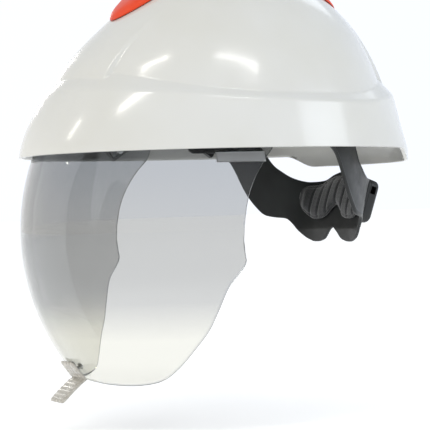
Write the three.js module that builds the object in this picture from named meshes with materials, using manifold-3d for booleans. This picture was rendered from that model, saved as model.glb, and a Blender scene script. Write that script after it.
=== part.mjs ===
// Electrician's hard hat with a retractable face shield and a ratchet harness.
// Millimetres. +Z is up, the helmet faces -Y, and +X is the wearer's left.
// The origin is the centre of the head opening, level with the rim at the sides.
import * as THREE from 'three';
import { mergeVertices } from 'three/addons/utils/BufferGeometryUtils.js';
import Module from 'manifold-3d';

const wasm = await Module();
wasm.setup();

// ---------- driving dimensions ----------
const GAP = 0.3;                    // clearance between touching pieces
const WALL = 2.5;                   // shell wall
const OVAL_POWER = 2.1;             // roundness of every plan outline
const DOME = { height: 142.5, power: 1.85, front: 139.5, rear: 139, half: 115, crownTuck: 0.08 };
const RIM = { front: 155.5, rear: 148.5, half: 118.5, napeDrop: 9 };
const LEDGE = { side: 33, frontRise: 14, rearRise: 10 };
const RIB = { half: 47, step: 3.5, fadeFrom: 46, fadeTo: 108 };
const SHIELD = { forward: -5, height: -57, radius: 160, half: 112, thickness: 2 };
const RAIL = { inner: 72.5, outer: 87, x: 100.8, depth: 4.7, from: 51.2, to: 126.9 };
const GROOVE = { inner: 75.5, outer: 80.5, depth: 3.8, endWall: 1 };
const SHOE = { inner: 76, outer: 80, from: 52.7, to: 67.7 };
const CREST = {
  front: 83.5,
  noseFrom: 40,
  noseHalf: 32,
  tailFrom: -58,
  rear: -98,
  tailHalf: 47,
  height: 7.5,
};
const HEADBAND = { half: 79.4, front: 97, back: 32, thickness: 2, bottom: 12, top: 38 };
const FRAME = { half: 76, front: 103, rear: 104, bottom: 48, top: 53, width: 7 };
const NAPE = { forward: -109, height: -36, lean: 20, thickness: 2.6, straightBelow: -60 };
const RATCHET = { half: 32, tall: 17, coverDepth: 2, caseDepth: 8.4, toothPitchRadius: 7.2, teeth: 12 };
const KNOB = { radius: 15, depth: 9, flutes: 20 };

const deg = THREE.MathUtils.degToRad;

// ---------- materials ----------
function finish(color, roughness, metalness = 0, opacity = 1) {
  const options = { color, roughness, metalness, opacity, transparent: opacity < 1 };
  return new THREE.MeshStandardMaterial(options);
}
const WHITE = finish(0xe6e7e1, 0.2);
const ORANGE = finish(0xe8452b, 0.35);
const CLEAR = finish(0xd6dadb, 0.05, 0, 0.3);
const TAB_GREY = finish(0xcfc9bd, 0.35);
const BLACK = finish(0x25292a, 0.5);
const WEB_BLACK = finish(0x1f2123, 0.85);
const PAD_BLACK = finish(0x2a2c2d, 0.9);
const STEEL = finish(0xb4b7b8, 0.3, 1);
const ACETAL = finish(0xdad8d0, 0.4);

const helmet = new THREE.Group();

// ---------- solids ----------
function solidOf(geometry) {
  const bare = geometry.index ? geometry.toNonIndexed() : geometry.clone();
  bare.deleteAttribute('normal');
  bare.deleteAttribute('uv');
  const merged = mergeVertices(bare, 1e-4);
  const vertProperties = new Float32Array(merged.attributes.position.array);
  const triVerts = new Uint32Array(merged.index.array);
  return new wasm.Manifold(new wasm.Mesh({ numProp: 3, vertProperties, triVerts }));
}

function geometryOf(solid) {
  const mesh = solid.getMesh();
  const geometry = new THREE.BufferGeometry();
  geometry.setAttribute('position', new THREE.BufferAttribute(new Float32Array(mesh.vertProperties), 3));
  geometry.setIndex(new THREE.BufferAttribute(new Uint32Array(mesh.triVerts), 1));
  return geometry;
}

function addMesh(name, shape, material, parent = helmet) {
  const geometry = shape.isBufferGeometry ? shape : geometryOf(shape);
  const mesh = new THREE.Mesh(geometry, material);
  mesh.name = name;
  parent.add(mesh);
  return mesh;
}

function mapped(geometry, place) {
  const position = geometry.attributes.position;
  const point = new THREE.Vector3();
  for (let i = 0; i < position.count; i += 1) {
    point.fromBufferAttribute(position, i);
    place(point);
    position.setXYZ(i, point.x, point.y, point.z);
  }
  return geometry;
}

// Turns every triangle over, after a mirror.
function flipFaces(geometry) {
  const position = geometry.attributes.position;
  for (let i = 0; i < position.count; i += 3) {
    const a = new THREE.Vector3().fromBufferAttribute(position, i);
    const b = new THREE.Vector3().fromBufferAttribute(position, i + 1);
    position.setXYZ(i, b.x, b.y, b.z);
    position.setXYZ(i + 1, a.x, a.y, a.z);
  }
  return geometry;
}

function box(width, depth, height, x, y, z) {
  return new THREE.BoxGeometry(width, depth, height).translate(x, y, z);
}

// A cylinder along Z between two heights.
function post(radius, low, high, segments = 16) {
  const geometry = new THREE.CylinderGeometry(radius, radius, high - low, segments);
  return geometry.rotateX(Math.PI / 2).translate(0, 0, (low + high) / 2);
}

// Turns a shape made along +Z so that it points along a direction, then moves it to a point.
function aim(geometry, from, direction) {
  const up = new THREE.Vector3(0, 0, 1);
  const turn = new THREE.Quaternion().setFromUnitVectors(up, direction.clone().normalize());
  return geometry.applyQuaternion(turn).translate(from.x, from.y, from.z);
}

function screwGeometry(shank, length, head) {
  const headEdge = [[0, -head * 0.45], [head, -head * 0.25], [head, 0]];
  const profile = [...headEdge, [shank, 0], [shank, length], [0, length]];
  const points = profile.map(([radius, along]) => new THREE.Vector2(radius, along));
  return new THREE.LatheGeometry(points, 10).rotateX(Math.PI / 2);
}

// Forward, left and up to the model's own axes.
function at(forward, left, up) {
  return new THREE.Vector3(left, -forward, up);
}

// ---------- shell surface ----------
const clamp01 = (value) => Math.min(1, Math.max(0, value));

function ramp(from, to, value) {
  const t = clamp01((value - from) / (to - from));
  return t * t * (3 - 2 * t);
}

function softMax(a, b, round) {
  const t = clamp01(0.5 + (a - b) / (2 * round));
  return b + (a - b) * t + round * t * (1 - t);
}

function oval(angle, front, rear, half) {
  const c = Math.cos(angle);
  const s = Math.sin(angle);
  const length = c > 0 ? front : rear;
  return (Math.abs(c / length) ** OVAL_POWER + Math.abs(s / half) ** OVAL_POWER) ** (-1 / OVAL_POWER);
}

function shellCentre(z) {
  return -3 - 0.0005 * Math.max(z, 0) ** 2;
}

function domeRadius(angle, z) {
  const front = DOME.front * (1 - DOME.crownTuck * ramp(60, 110, z));
  const level = Math.sqrt(Math.max(0, 1 - (Math.max(z, 0) / DOME.height) ** DOME.power));
  const radius = oval(angle, front, DOME.rear, DOME.half) * level;
  const side = Math.abs(radius * Math.sin(angle));
  const panel = ramp(RIB.half - 1.5, RIB.half + 1.5, side);
  return radius - panel * RIB.step * (1 - ramp(RIB.fadeFrom, RIB.fadeTo, z));
}

function ledgeHeight(angle) {
  const rear = ramp(deg(120), deg(165), Math.abs(angle));
  return LEDGE.side + LEDGE.frontRise * ((1 + Math.cos(angle)) / 2) ** 4 + LEDGE.rearRise * rear;
}

function bandRadius(angle, z) {
  const ahead = Math.max(0, Math.cos(angle));
  const taper = (0.09 + 0.055 * ahead) * (Math.max(z, 0) / 50) ** (1 + 0.5 * ahead);
  return oval(angle, RIM.front, RIM.rear, RIM.half) * (1 - taper);
}

// The ledge's slope runs under the dome well before this far above the ledge.
const SHOULDER_REACH = 40;

function shellRadius(angle, z) {
  const ledge = ledgeHeight(angle);
  const above = z - ledge;
  const shoulder = bandRadius(angle, ledge) - above - 2 * Math.max(0, above - SHOULDER_REACH);
  const band = -softMax(-bandRadius(angle, z), -shoulder, 2.5);
  return Math.max(0, softMax(domeRadius(angle, z), band, 1.2));
}

function rimHeight(angle) {
  return -RIM.napeDrop * ramp(deg(142), deg(152), Math.abs(angle));
}

// The height of the outer surface at a place in plan, found by halving.
function shellTop(forward, left) {
  let low = 0;
  let high = DOME.height;
  for (let i = 0; i < 30; i += 1) {
    const z = (low + high) / 2;
    const ahead = forward - shellCentre(z);
    const inside = Math.hypot(ahead, left) < shellRadius(Math.atan2(left, ahead), z);
    if (inside) low = z;
    else high = z;
  }
  return (low + high) / 2;
}

// Height of a row of the shell: rows crowd at the ledge, where the outline turns.
function rowHeight(angle, row) {
  const ledge = ledgeHeight(angle);
  const shoulderEnd = ledge + 10;
  if (row < 0.3) return THREE.MathUtils.lerp(rimHeight(angle), ledge - 3, row / 0.3);
  if (row < 0.5) return THREE.MathUtils.lerp(ledge - 3, shoulderEnd, (row - 0.3) / 0.2);
  const t = (row - 0.5) / 0.5;
  return shoulderEnd + (DOME.height - shoulderEnd) * Math.sin(t * Math.PI / 2);
}

// A sphere's upper rings become the outside and its lower rings the inside, with a flat rim between.
const SHELL_ROWS = 14;

function shellGeometry() {
  const rings = SHELL_ROWS * 2 + 1;
  const sphere = new THREE.SphereGeometry(1, 56, rings).rotateX(Math.PI / 2);
  return mapped(sphere, (point) => {
    const angle = Math.atan2(point.x, -point.y);
    const ringNumber = Math.round(Math.acos(THREE.MathUtils.clamp(point.z, -1, 1)) / Math.PI * rings);
    const outside = ringNumber <= SHELL_ROWS;
    const row = (outside ? SHELL_ROWS - ringNumber : ringNumber - SHELL_ROWS - 1) / SHELL_ROWS;
    const z = rowHeight(angle, row);
    const wall = outside ? 0 : WALL;
    const radius = Math.max(0, shellRadius(angle, z) - wall * 1.05);
    const lower = wall * ramp(0, 0.6, row);
    const spread = row > 0.9999 ? 0 : radius;
    const ahead = shellCentre(z) + spread * Math.cos(angle);
    point.set(spread * Math.sin(angle), -ahead, z - lower);
  });
}

// ---------- shield geometry: everything turns about one line across the head ----------
function polar(radius, angle) {
  return [SHIELD.forward + radius * Math.cos(deg(angle)), SHIELD.height + radius * Math.sin(deg(angle))];
}

function shieldHalf(radius, skin = 0) {
  return (SHIELD.half - skin) * Math.sqrt(Math.max(0, 1 - (radius / (SHIELD.radius - skin)) ** 2));
}

// Extrudes a side view, given as forward and up, across the helmet from one X to another.
function acrossFrom(shape, fromX, toX, curveSegments = 12) {
  const options = { depth: toX - fromX, bevelEnabled: false, curveSegments };
  const geometry = new THREE.ExtrudeGeometry(shape, options);
  const place = new THREE.Matrix4().set(0, 0, 1, fromX, -1, 0, 0, 0, 0, 1, 0, 0, 0, 0, 0, 1);
  return flipFaces(geometry.applyMatrix4(place));
}

function sector(inner, outer, from, to) {
  const shape = new THREE.Shape();
  shape.absarc(SHIELD.forward, SHIELD.height, outer, deg(from), deg(to), false);
  shape.absarc(SHIELD.forward, SHIELD.height, inner, deg(to), deg(from), true);
  shape.closePath();
  return shape;
}

const SHIELD_EDGE = {
  front: [[175, -158], [119, -161], [108, -164.5], [92, -165], [80.5, -161.5], [74, -154]],
  side: [[65, -138], [58.5, -126], [53, -110], [48, -96], [36.5, -79]],
  rear: [[38.2, -68], [37.2, -52], [34.4, -37], [28, -22], [18, -7.5], [10, 1.5]],
  top: [[8, 12], [10, 24], [17, 30], [60, 25], [175, 20]],
};

function shieldOutline() {
  const points = [...SHIELD_EDGE.front, ...SHIELD_EDGE.side, ...SHIELD_EDGE.rear, ...SHIELD_EDGE.top];
  return new THREE.Shape(points.map(([forward, up]) => new THREE.Vector2(forward, up)));
}

function shieldSkin(skin) {
  const sphere = new THREE.SphereGeometry(1, 52, 36).rotateZ(Math.PI / 2);
  const size = SHIELD.radius - skin;
  sphere.scale(SHIELD.half - skin, size, size);
  return solidOf(sphere.translate(0, -SHIELD.forward, SHIELD.height));
}

function rivetPlaces(side) {
  return [56.4, 64.2].map((angle) => {
    const [forward, up] = polar((SHOE.inner + SHOE.outer) / 2, angle);
    return at(forward, side * shieldHalf(78), up);
  });
}

function buildShield() {
  const skin = shieldSkin(0).subtract(shieldSkin(SHIELD.thickness));
  let shield = skin.intersect(solidOf(acrossFrom(shieldOutline(), -130, 130)));
  for (const side of [-1, 1]) {
    for (const place of rivetPlaces(side)) {
      const hole = aim(post(1.9, -6, 6, 12), place, new THREE.Vector3(side, 0, 0));
      shield = shield.subtract(solidOf(hole));
    }
  }
  for (const { radial, place } of tabRivets()) {
    shield = shield.subtract(solidOf(aim(post(1.6, -4, 8, 12), place, radial)));
  }
  addMesh('face_shield', shield, CLEAR);
}

// The shoe is an arc-shaped key on the wing of the shield; it runs in the rail's groove.
function buildShoe(side, name) {
  const near = shieldHalf(SHOE.inner) + GAP + 0.15;
  const far = RAIL.x + 3.4;
  const shape = sector(SHOE.inner, SHOE.outer, SHOE.from, SHOE.to);
  const ends = [side * near, side * far].sort((a, b) => a - b);
  let shoe = solidOf(acrossFrom(shape, ends[0], ends[1], 10));
  rivetPlaces(side).forEach((place, index) => {
    const start = place.clone();
    start.x = side * (shieldHalf(78, SHIELD.thickness) - 2.1);
    const direction = new THREE.Vector3(side, 0, 0);
    const seat = start.clone();
    shoe = shoe.subtract(solidOf(aim(post(1.5, 0, 8.6, 12), seat, direction)));
    const profile = [[0, -1], [2, -1], [3, 0], [3, 0.6], [1.2, 0.6], [1.2, 7.6], [0, 7.6]];
    const points = profile.map(([radius, along]) => new THREE.Vector2(radius, along));
    const rivet = new THREE.LatheGeometry(points, 12).rotateX(Math.PI / 2);
    addMesh(`shoe_rivet_${name}_${index ? 'rear' : 'front'}`, aim(rivet, start, direction), STEEL);
  });
  addMesh(`guide_shoe_${name}`, shoe, ACETAL);
}

// Screws above the groove hold the rail to bosses inside the shell.
const RAIL_SCREWS = [{ angle: 62, place: 'front' }, { angle: 112, place: 'rear' }];
const RAIL_SCREW_RADIUS = (GROOVE.outer + RAIL.outer) / 2;

function buildRail(side, name) {
  const far = RAIL.x + RAIL.depth;
  const span = (low, high) => [side * low, side * high].sort((a, b) => a - b);
  const bar = acrossFrom(sector(RAIL.inner, RAIL.outer, RAIL.from, RAIL.to), ...span(RAIL.x, far), 16);
  const groove = sector(GROOVE.inner, GROOVE.outer, RAIL.from + GROOVE.endWall, RAIL.to - GROOVE.endWall);
  const slot = acrossFrom(groove, ...span(RAIL.x - 1, RAIL.x + GROOVE.depth), 16);
  let rail = solidOf(bar).subtract(solidOf(slot));
  for (const { angle, place } of RAIL_SCREWS) {
    const [forward, up] = polar(RAIL_SCREW_RADIUS, angle);
    const centre = at(forward, side * RAIL.x, up);
    const outward = new THREE.Vector3(side, 0, 0);
    rail = rail.subtract(solidOf(aim(post(2.9, -1, 2, 14), centre, outward)));
    rail = rail.subtract(solidOf(aim(post(1.8, 0, RAIL.depth + 1, 12), centre, outward)));
    const start = at(forward, side * (RAIL.x + 2 - GAP), up);
    addMesh(`rail_screw_${name}_${place}`, aim(screwGeometry(1.5, 7.2, 2.6), start, outward), STEEL);
  }
  addMesh(`guide_rail_${name}`, rail, BLACK);
}

function railBoss(side, angle) {
  const [forward, up] = polar(RAIL_SCREW_RADIUS, angle);
  const start = at(forward, side * (RAIL.x + RAIL.depth + GAP), up);
  const outward = new THREE.Vector3(side, 0, 0);
  const narrow = Math.min(shellSide(forward - 4, up), shellSide(forward + 4, up));
  const reach = narrow - WALL * 0.3 - Math.abs(start.x);
  const boss = solidOf(aim(post(4, 0, reach, 16), start, outward));
  const hole = solidOf(aim(post(1.8, -1, 4.6, 12), start, outward));
  return { boss, hole };
}

function shellSide(forward, up) {
  let low = 40;
  let high = 130;
  for (let i = 0; i < 30; i += 1) {
    const left = (low + high) / 2;
    const ahead = forward - shellCentre(up);
    const inside = Math.hypot(ahead, left) < shellRadius(Math.atan2(left, ahead), up);
    if (inside) low = left;
    else high = left;
  }
  return low;
}

// ---------- harness frame: an oval ring hung from the rear and the crown of the shell ----------
const BOSS_RADIUS = 4.6;
const FRAME_BOSSES = [
  { name: 'rear_left', forward: -105, left: 42 },
  { name: 'rear_right', forward: -105, left: -42 },
  { name: 'side_left', forward: -62, left: 79 },
  { name: 'side_right', forward: -62, left: -79 },
];

function ring(front, rear, half, width, low, high, segments = 48) {
  const shape = new THREE.Shape(ovalPoints(front, rear, half, segments));
  shape.holes.push(new THREE.Path(ovalPoints(front - width, rear - width, half - width, segments)));
  const options = { depth: high - low, bevelEnabled: false };
  return new THREE.ExtrudeGeometry(shape, options).translate(0, 0, low);
}

function ovalPoints(front, rear, half, segments, from = 0, to = Math.PI * 2) {
  const points = [];
  const closed = to - from > 6.28;
  const count = closed ? segments : segments + 1;
  for (let i = 0; i < count; i += 1) {
    const angle = from + (to - from) * i / segments;
    const radius = oval(angle, front, rear, half);
    points.push(new THREE.Vector2(radius * Math.sin(angle), -radius * Math.cos(angle)));
  }
  return points;
}

function buildShell() {
  let shell = solidOf(shellGeometry());
  const holes = [];
  for (const side of [-1, 1]) {
    for (const { angle } of RAIL_SCREWS) {
      const { boss, hole } = railBoss(side, angle);
      shell = shell.add(boss);
      holes.push(hole);
    }
  }
  for (const { forward, left } of FRAME_BOSSES) {
    const low = FRAME.top + GAP;
    const outward = 1 + BOSS_RADIUS / Math.hypot(forward, left);
    const high = shellTop(forward * outward, left * outward) - 0.8;
    shell = shell.add(solidOf(post(BOSS_RADIUS, low, high, 16).translate(left, -forward, 0)));
    holes.push(solidOf(post(1.8, low - 1, low + 8, 12).translate(left, -forward, 0)));
  }
  for (const forward of CREST_SCREWS) {
    const top = shellTop(forward, 0);
    holes.push(solidOf(post(2.1, top - 12, top + 4, 12).translate(0, -forward, 0)));
    holes.push(solidOf(post(3.8, top - 14, top - CREST_SEAT, 16).translate(0, -forward, 0)));
  }
  for (const hole of holes) shell = shell.subtract(hole);
  addMesh('shell', shell, WHITE);
  return shell;
}

function buildHarnessFrame() {
  let frame = solidOf(ring(FRAME.front, FRAME.rear, FRAME.half, FRAME.width, FRAME.bottom, FRAME.top));
  for (const { forward, left } of FRAME_BOSSES) {
    const toward = new THREE.Vector3(left, -forward, 0);
    const length = 30;
    const arm = new THREE.BoxGeometry(10, length, 3).translate(0, -length / 2, FRAME.top - 1.5);
    arm.rotateZ(Math.atan2(toward.y, toward.x) - Math.PI / 2).translate(toward.x, toward.y, 0);
    const pad = post(5.5, FRAME.top - 3, FRAME.top, 18).translate(left, -forward, 0);
    frame = frame.add(solidOf(arm)).add(solidOf(pad));
  }
  const inside = ring(FRAME.front - FRAME.width, FRAME.rear - FRAME.width, FRAME.half - FRAME.width, 30,
    FRAME.bottom - 1, FRAME.top + 1);
  frame = frame.subtract(solidOf(inside));
  for (const { name, forward, left } of FRAME_BOSSES) {
    frame = frame.subtract(solidOf(post(1.9, FRAME.top - 8, FRAME.top + 1, 12).translate(left, -forward, 0)));
    const screw = screwGeometry(1.5, 9, 3.2).translate(left, -forward, FRAME.top - 3 - GAP);
    addMesh(`frame_screw_${name}`, screw, STEEL);
  }
  addMesh('harness_frame', frame, BLACK);
}

// Three textile straps cross over the head, one above another, and hook over the frame.
const CROWN_STRAPS = [
  { name: 'crown_strap_lower', angle: 0, peak: 86 },
  { name: 'crown_strap_middle', angle: 58, peak: 87.6 },
  { name: 'crown_strap_upper', angle: -58, peak: 89.2 },
];
const STRAP = { width: 20, thickness: 1.2 };

function buildCrownStrap({ name, angle, peak }) {
  const turn = deg(angle);
  const reach = oval(turn, FRAME.front, FRAME.rear, FRAME.half) - FRAME.width - 4.2;
  const back = oval(turn + Math.PI, FRAME.front, FRAME.rear, FRAME.half) - FRAME.width - 4.2;
  const start = FRAME.bottom + 1;
  const geometry = new THREE.BoxGeometry(1, 1, 1, 28, 2, 1);
  mapped(geometry, (point) => {
    const along = point.x * 2;
    const radius = along > 0 ? reach : back;
    const arch = Math.sqrt(Math.max(0, 1 - Math.abs(along) ** 2.4));
    const height = start + (peak - start) * arch + point.z * STRAP.thickness;
    const outward = radius * along + Math.sign(along) * point.z * STRAP.thickness * Math.abs(along) ** 6;
    const across = point.y * STRAP.width;
    const x = outward * Math.sin(turn) + across * Math.cos(turn);
    const y = -outward * Math.cos(turn) + across * Math.sin(turn);
    point.set(x, y, height);
  });
  addMesh(name, geometry, WEB_BLACK);
}

// ---------- headband: a U open at the back, level strips at the temples ----------
function headbandPoints(grow, back, segments = 40) {
  const half = HEADBAND.half + grow;
  const front = ovalPoints(HEADBAND.front + grow, 1, half, segments, -Math.PI / 2, Math.PI / 2);
  return [new THREE.Vector2(-half, back), ...front, new THREE.Vector2(half, back)];
}

function bandBetween(inner, outer, back, low, high) {
  const outline = [...headbandPoints(outer, back), ...headbandPoints(inner, back).reverse()];
  const shape = new THREE.Shape(outline);
  return new THREE.ExtrudeGeometry(shape, { depth: high - low, bevelEnabled: false }).translate(0, 0, low);
}

const HANGER = { width: 14, thickness: 2, hook: 5, clearance: 1.1 };
const HANGERS = [
  { name: 'front_left', angle: 38 },
  { name: 'front_right', angle: -38 },
  { name: 'side_left', angle: 84 },
  { name: 'side_right', angle: -84 },
];

// A hanger hooks the headband's outer face to the underside of the frame.
function buildHanger({ name, angle }) {
  const turn = deg(angle);
  const near = oval(turn, HEADBAND.front, 1, HEADBAND.half) + HEADBAND.thickness + GAP + HANGER.clearance;
  const far = near + HANGER.thickness;
  const hook = oval(turn, FRAME.front, FRAME.rear, FRAME.half) - FRAME.width / 2;
  const bend = HEADBAND.top + 1;
  const top = FRAME.bottom - GAP;
  const profile = [
    [near, HEADBAND.bottom + 8],
    [far, HEADBAND.bottom + 8],
    [far, bend],
    [hook + HANGER.hook / 2, top],
    [hook - HANGER.hook / 2, top],
    [near, bend],
  ];
  const shape = new THREE.Shape(profile.map(([outward, up]) => new THREE.Vector2(outward, up)));
  const hanger = acrossFrom(shape, -HANGER.width / 2, HANGER.width / 2);
  addMesh(`hanger_${name}`, hanger.rotateZ(turn), BLACK);
}

function buildHeadband() {
  const { thickness, back, bottom, top } = HEADBAND;
  addMesh('headband', bandBetween(0, thickness, back, bottom, top), BLACK);
  const pad = bandBetween(-4.3, -GAP, 8, HEADBAND.bottom + 1, HEADBAND.top - 2);
  addMesh('brow_pad', pad, PAD_BLACK);
  HANGERS.forEach(buildHanger);
}

// ---------- nape cradle ----------
const CRADLE_PATH = [[-16, 82.2], [-46, 81.8], [-63, 77], [-82, 64], [-97, 49], [-107, 34], [-109, 20]];
const CRADLE_EDGES = [
  { left: 0, low: -58, high: -15 },
  { left: 6, low: -62, high: -15 },
  { left: 12, low: -68, high: -15 },
  { left: 20, low: -70, high: -17 },
  { left: 28, low: -70, high: -21 },
  { left: 36, low: -67, high: -22 },
  { left: 43, low: -62, high: -22 },
  { left: 49, low: -56, high: -20 },
  { left: 54, low: -51, high: -17 },
  { left: 62, low: -50, high: -8 },
  { left: 68, low: -48, high: 8 },
  { left: 74, low: -36, high: 20 },
  { left: 78, low: -21, high: 27 },
  { left: 80, low: -1, high: 29 },
  { left: 83, low: 8, high: 30 },
];

function edgeAt(left, key) {
  const reach = Math.abs(left);
  const next = Math.max(1, CRADLE_EDGES.findIndex((edge) => edge.left >= reach));
  const a = CRADLE_EDGES[next - 1];
  const b = CRADLE_EDGES[next];
  const t = clamp01((reach - a.left) / (b.left - a.left));
  return a[key] + (b[key] - a[key]) * t;
}

function cradleCurve() {
  const leftSide = CRADLE_PATH.map(([forward, left]) => new THREE.Vector3(left, -forward, 0));
  const rightSide = leftSide.map((point) => new THREE.Vector3(-point.x, point.y, 0)).reverse();
  const middle = new THREE.Vector3(0, -NAPE.forward, 0);
  return new THREE.CatmullRomCurve3([...leftSide, middle, ...rightSide], false, 'centripetal');
}

// How far the band leans in at a height: it leans at the back, stands upright at the sides, and its
// lobes hang straight down below the ratchet.
function cradleLean(left, z) {
  const share = 1 - ramp(30, 66, Math.abs(left));
  const leaning = Math.max(z, NAPE.straightBelow) - NAPE.height;
  return Math.tan(deg(NAPE.lean)) * leaning * share;
}

function cradleSheet(offset, thickness, trimEnds, low, high, segments = 44) {
  const curve = cradleCurve();
  const geometry = new THREE.BoxGeometry(1, 1, 1, segments, 1, 6);
  return mapped(geometry, (point) => {
    const along = THREE.MathUtils.clamp(0.5 - point.x * (1 - 2 * trimEnds), 0, 1);
    const place = curve.getPointAt(along);
    const tangent = curve.getTangentAt(along);
    const normal = new THREE.Vector3(tangent.y, -tangent.x, 0);
    const bottom = edgeAt(place.x, 'low') + low;
    const top = edgeAt(place.x, 'high') - high;
    const z = THREE.MathUtils.lerp(bottom, top, point.z + 0.5);
    const out = offset + thickness * (point.y + 0.5);
    place.addScaledVector(normal, out);
    point.set(place.x, place.y + cradleLean(place.x, z), z);
  });
}

function buildRatchetGroup() {
  const ratchet = new THREE.Group();
  ratchet.position.set(0, -NAPE.forward, NAPE.height);
  ratchet.rotation.x = deg(-NAPE.lean);
  helmet.add(ratchet);
  return ratchet;
}

function buildNape() {
  const outer = NAPE.thickness;
  let cradle = solidOf(cradleSheet(0, outer, 0, 0, 0));
  const place = (geometry) => geometry.rotateX(deg(-NAPE.lean)).translate(0, -NAPE.forward, NAPE.height);
  for (const side of [-1, 1]) {
    const x = side * CASE_SCREW.x;
    const z = -side * CASE_SCREW.z;
    cradle = cradle.subtract(solidOf(place(yPost(1.6, -4, 5, 12, x, z))));
    cradle = cradle.subtract(solidOf(place(yPost(2.6, -4, 1.2, 14, x, z))));
  }
  addMesh('nape_cradle', cradle, BLACK);
  const pad = solidOf(cradleSheet(-5.8, 5, 14 / 44, 18, 3, 16));
  addMesh('nape_pad', pad, PAD_BLACK);
}

// ---------- ratchet: local +Y points out of the back of the case ----------
const CASE_SCREW = { x: 24, z: 13.4 };
const CASE_FRONT = NAPE.thickness + RATCHET.coverDepth + 2 * GAP;
const CASE_BACK = CASE_FRONT + RATCHET.caseDepth;
const END_WALL = 1.2;

function alongY(geometry) {
  return geometry.rotateX(-Math.PI / 2);
}

function roundedPlate(half, tall, corner, depth, y) {
  const shape = new THREE.Shape();
  shape.absarc(half - corner, tall - corner, corner, 0, Math.PI / 2, false);
  shape.absarc(-half + corner, tall - corner, corner, Math.PI / 2, Math.PI, false);
  shape.absarc(-half + corner, -tall + corner, corner, Math.PI, 1.5 * Math.PI, false);
  shape.absarc(half - corner, -tall + corner, corner, 1.5 * Math.PI, 2 * Math.PI, false);
  const geometry = new THREE.ExtrudeGeometry(shape, { depth, bevelEnabled: false, curveSegments: 6 });
  return geometry.rotateX(Math.PI / 2).translate(0, y + depth, 0);
}

function yPost(radius, from, to, segments = 18, x = 0, z = 0) {
  return alongY(post(radius, from, to, segments)).translate(x, 0, z);
}

function buildCase(ratchet) {
  const { half, tall, coverDepth, caseDepth } = RATCHET;
  const coverFront = NAPE.thickness + GAP;
  let cover = solidOf(roundedPlate(half, tall, 6, coverDepth, coverFront));
  let shellCase = solidOf(roundedPlate(half, tall, 6, caseDepth, CASE_FRONT));
  const cavity = roundedPlate(half - 2.2, tall - 2.2, 4, caseDepth - 2, CASE_FRONT - 0.5);
  shellCase = shellCase.subtract(solidOf(cavity));
  for (const side of [-1, 1]) {
    const slotHeight = side * (RACK.tip + RACK.root + RACK.spine) / 2;
    const slot = box(8, 4.4, 6.2, side * half, GEAR_FRONT + GEAR_WIDTH / 2, slotHeight);
    shellCase = shellCase.subtract(solidOf(slot));
    // A pocket in the far end wall lets the rack's tail run in when the harness is tightest.
    const pocketMiddle = -side * (half - END_WALL - 2);
    const pocket = box(4, 4.4, 6.2, pocketMiddle, GEAR_FRONT + GEAR_WIDTH / 2, slotHeight);
    shellCase = shellCase.subtract(solidOf(pocket));
    const { x } = CASE_SCREW;
    const z = -side * CASE_SCREW.z;
    shellCase = shellCase.add(solidOf(yPost(2.2, CASE_FRONT, CASE_BACK - 1, 14, side * x, z)));
    shellCase = shellCase.subtract(solidOf(yPost(1.4, CASE_FRONT - 1, CASE_BACK - 2, 12, side * x, z)));
    cover = cover.subtract(solidOf(yPost(1.6, 0, 12, 12, side * x, z)));
    const screw = alongY(screwGeometry(1.1, 8.4, 2.2));
    screw.translate(side * x, 1.2 - GAP, z);
    addMesh(`case_screw_${side > 0 ? 'left' : 'right'}`, screw, STEEL, ratchet);
  }
  shellCase = shellCase.subtract(solidOf(yPost(4.3, CASE_FRONT, CASE_BACK + 2, 20)));
  cover = cover.subtract(solidOf(yPost(2.3, 0, 12, 16)));
  addMesh('ratchet_cover', cover, BLACK, ratchet);
  addMesh('ratchet_case', shellCase, BLACK, ratchet);
}

const MODULE = 2 * RATCHET.toothPitchRadius / RATCHET.teeth;
const GEAR_FRONT = CASE_FRONT + 1.2;
const GEAR_WIDTH = 3.4;
const RACK = {
  from: -14.5,
  to: 26,
  tip: RATCHET.toothPitchRadius - 0.8 * MODULE,
  root: RATCHET.toothPitchRadius + MODULE,
  spine: 2.4,
};

function pinionShape() {
  const root = RATCHET.toothPitchRadius - 1.2 * MODULE;
  const tip = RATCHET.toothPitchRadius + 0.8 * MODULE;
  const step = Math.PI * 2 / RATCHET.teeth;
  const points = [];
  for (let i = 0; i < RATCHET.teeth; i += 1) {
    for (const [radius, share] of [[root, -0.34], [tip, -0.1], [tip, 0.1], [root, 0.34]]) {
      const angle = Math.PI / 2 + (i + share) * step;
      points.push(new THREE.Vector2(radius * Math.cos(angle), radius * Math.sin(angle)));
    }
  }
  return new THREE.Shape(points);
}

// The left rack passes above the pinion with its teeth down; a gap stands over the pinion at rest.
function rackShape() {
  const pitch = Math.PI * MODULE;
  const { from, to, tip, root, spine } = RACK;
  const points = [new THREE.Vector2(to, root), new THREE.Vector2(to, root + spine)];
  points.push(new THREE.Vector2(from, root + spine), new THREE.Vector2(from, root));
  for (let x = -3.5 * pitch; x < to - pitch * 0.5; x += pitch) {
    if (x - 0.32 * pitch > from) {
      points.push(new THREE.Vector2(x - 0.32 * pitch, root), new THREE.Vector2(x - 0.12 * pitch, tip));
      points.push(new THREE.Vector2(x + 0.12 * pitch, tip), new THREE.Vector2(x + 0.32 * pitch, root));
    }
  }
  return new THREE.Shape(points);
}

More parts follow.
